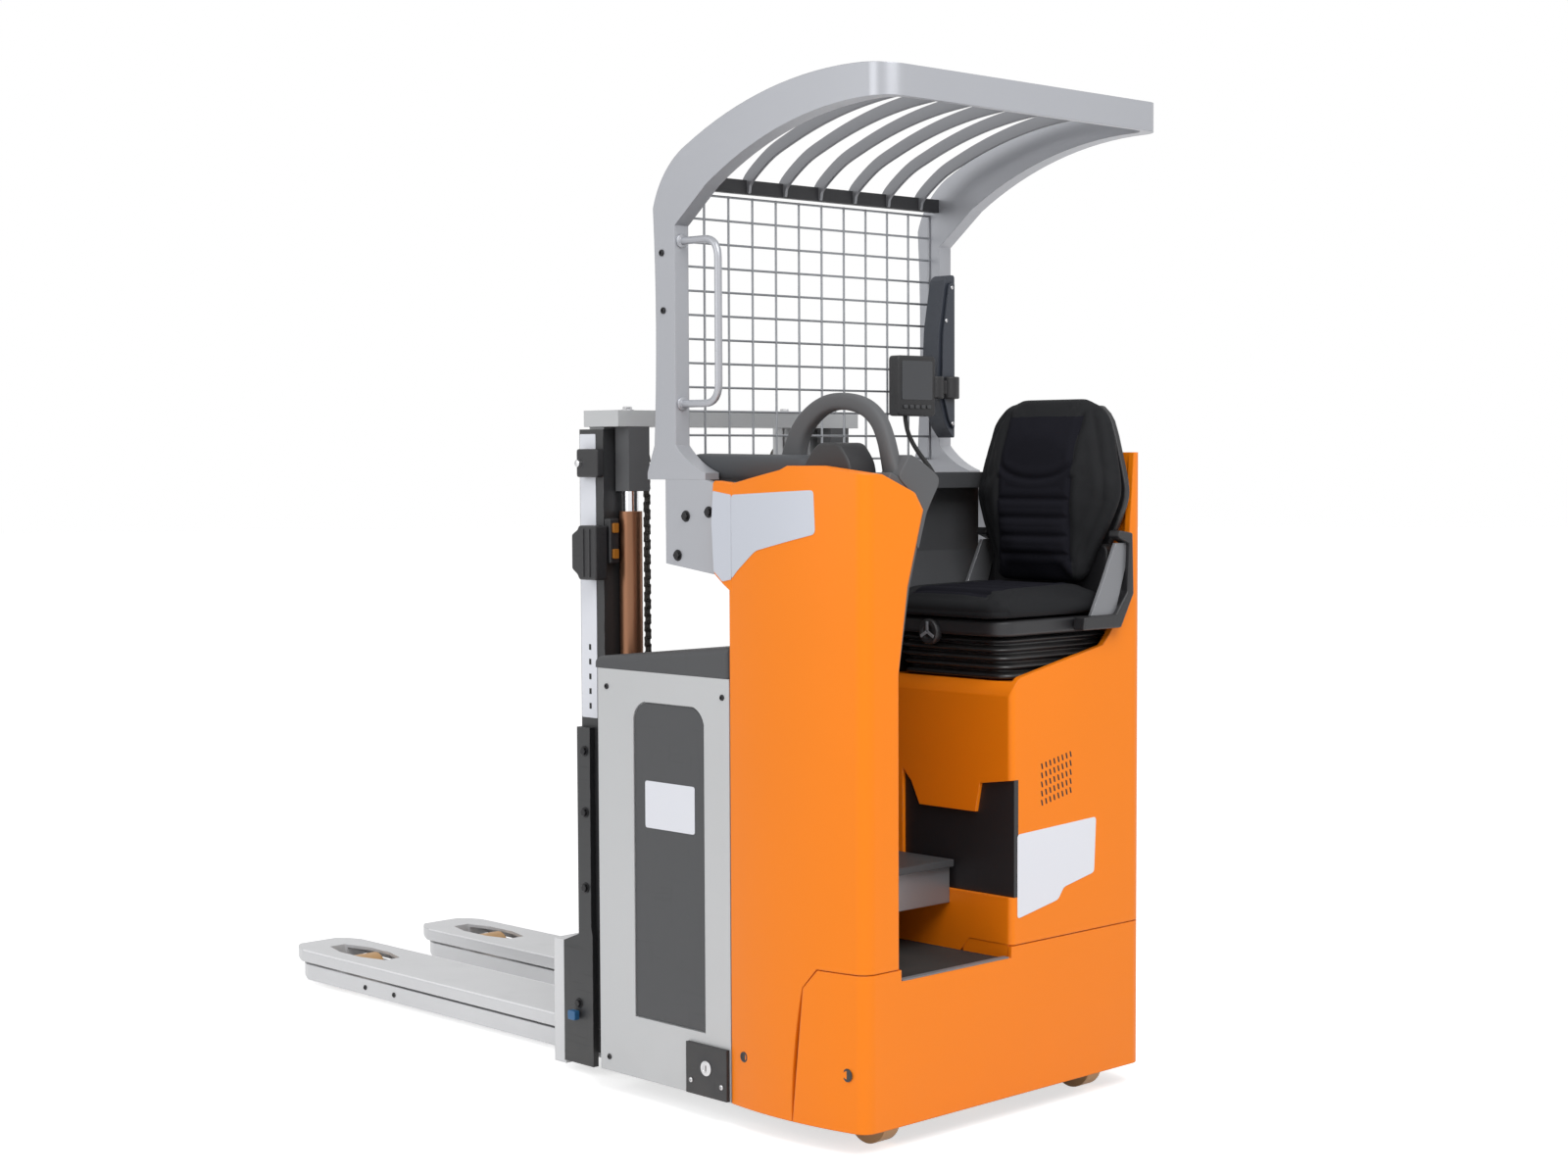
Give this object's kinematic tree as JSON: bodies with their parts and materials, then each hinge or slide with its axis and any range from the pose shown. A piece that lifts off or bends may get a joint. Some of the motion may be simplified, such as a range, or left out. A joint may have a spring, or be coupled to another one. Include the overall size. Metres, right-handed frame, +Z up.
{
  "type": "electric forklift",
  "caption": "Seated double-deck electric pallet stacker with low telescopic mast, overhead guard, side-facing seat, battery bay and castors.",
  "frame": {"origin": "on the ground, in the middle of the truck's length and width", "axes": "+X towards the fork tips, +Y to the truck's left, +Z up"},
  "size_m": [2.231, 0.8642, 2.0238],
  "materials": {
    "orange_paint": "satin",
    "light_grey_paint": "satin",
    "dark_grey_panel": "fine grain",
    "black_plastic": "fine grain",
    "dark_steel": "satin",
    "black_rubber": "ribbed",
    "seat_cover": "grained",
    "cylinder_steel": "oiled",
    "chrome_rod": "polished",
    "chain_steel": "oiled",
    "polyurethane": "smooth",
    "battery_case": "matt"
  },
  "bodies": {
    "chassis": {"battery": "battery_case", "battery_lock": "black_plastic", "battery_panels": "light_grey_paint", "bulkhead": "dark_steel", "chains_rear": "chain_steel", "chassis_plate": "dark_steel", "console_pillar": "orange_paint", "console_rail": "dark_grey_panel", "control_pod": "black_plastic", "cross_bar": "black_plastic", "floor_mat": "black_rubber", "footrest_box": "light_grey_paint", "footrest_lid": "dark_grey_panel", "front_panel": "dark_grey_panel", "grab_handle": "light_grey_paint", "guard_brackets": "light_grey_paint", "guard_frame": "light_grey_paint", "guard_mesh": "light_grey_paint", "inset_panels": "dark_grey_panel", "lift_cylinders": "cylinder_steel", "load_arms": "light_grey_paint", "main_frame": "dark_steel", "mast_boxes": "black_plastic", "mast_foot_plates": "dark_steel", "mast_outer": "dark_steel", "rear_skirt": "orange_paint", "roof_bars": "light_grey_paint", "seat_back": "seat_cover", "seat_base": "black_plastic", "seat_cushion": "seat_cover", "seat_hinges": "light_grey_paint", "seat_pedestal": "orange_paint", "terminal": "black_plastic", "toe_panel": "black_plastic"},
    "battery_lid": {"battery_lid": "dark_grey_panel"},
    "inner_mast": {"mast_inner": "light_grey_paint", "lift_rods": "chrome_rod", "rod_heads": "dark_steel", "chain_wheels": "chain_steel", "chains_front": "chain_steel"},
    "fork_carriage": {"fork_carriage": "dark_steel", "forks": "light_grey_paint"},
    "drive_unit": {"drive_unit": "dark_steel"},
    "drive_wheel": {"drive_wheel": "polyurethane"},
    "castor_left": {"castor_fork_left": "dark_steel"},
    "castor_left_wheel": {"castor_wheel_left": "polyurethane"},
    "castor_right": {"castor_fork_right": "dark_steel"},
    "castor_right_wheel": {"castor_wheel_right": "polyurethane"},
    "load_roller_left": {"load_roller_left": "polyurethane"},
    "load_roller_right": {"load_roller_right": "polyurethane"}
  },
  "joints": [
    {"name": "lid_hinge", "type": "hinge", "parent": "chassis", "child": "battery_lid", "pos_m": [-0.6995, 0, 0.93448], "axis": [0, -1, 0], "range_deg": [0, 40]},
    {"name": "mast_lift", "type": "slide", "parent": "chassis", "child": "inner_mast", "axis": [0, 0, 1], "range_m": [0, 0.83], "deforming": ["chains_rear"]},
    {"name": "carriage_lift", "type": "slide", "parent": "inner_mast", "child": "fork_carriage", "axis": [0, 0, 1], "range_m": [0, 0.83], "deforming": ["chains_front"]},
    {"name": "drive_steer", "type": "hinge", "parent": "chassis", "child": "drive_unit", "pos_m": [-0.8475, 0, 0.27], "axis": [0, 0, 1], "range_deg": [-90, 90]},
    {"name": "drive_spin", "type": "hinge", "parent": "drive_unit", "child": "drive_wheel", "pos_m": [-0.8475, 0, 0.115], "axis": [0, 1, 0], "continuous": true},
    {"name": "castor_left_swivel", "type": "hinge", "parent": "chassis", "child": "castor_left", "pos_m": [-0.9435, 0.3, 0.116], "axis": [0, 0, 1], "continuous": true},
    {"name": "castor_left_spin", "type": "hinge", "parent": "castor_left", "child": "castor_left_wheel", "pos_m": [-0.9785, 0.3, 0.05], "axis": [0, 1, 0], "continuous": true},
    {"name": "load_roller_left_spin", "type": "hinge", "parent": "chassis", "child": "load_roller_left", "pos_m": [0.9025, 0.189, 0.04], "axis": [0, 1, 0], "continuous": true},
    {"name": "castor_right_swivel", "type": "hinge", "parent": "chassis", "child": "castor_right", "pos_m": [-0.9435, -0.3, 0.116], "axis": [0, 0, 1], "continuous": true},
    {"name": "castor_right_spin", "type": "hinge", "parent": "castor_right", "child": "castor_right_wheel", "pos_m": [-0.9785, -0.3, 0.05], "axis": [0, 1, 0], "continuous": true},
    {"name": "load_roller_right_spin", "type": "hinge", "parent": "chassis", "child": "load_roller_right", "pos_m": [0.9025, -0.189, 0.04], "axis": [0, 1, 0], "continuous": true}
  ],
  "couplings": [
    {"joint": "carriage_lift", "follows": "mast_lift", "ratio": 1}
  ]
}
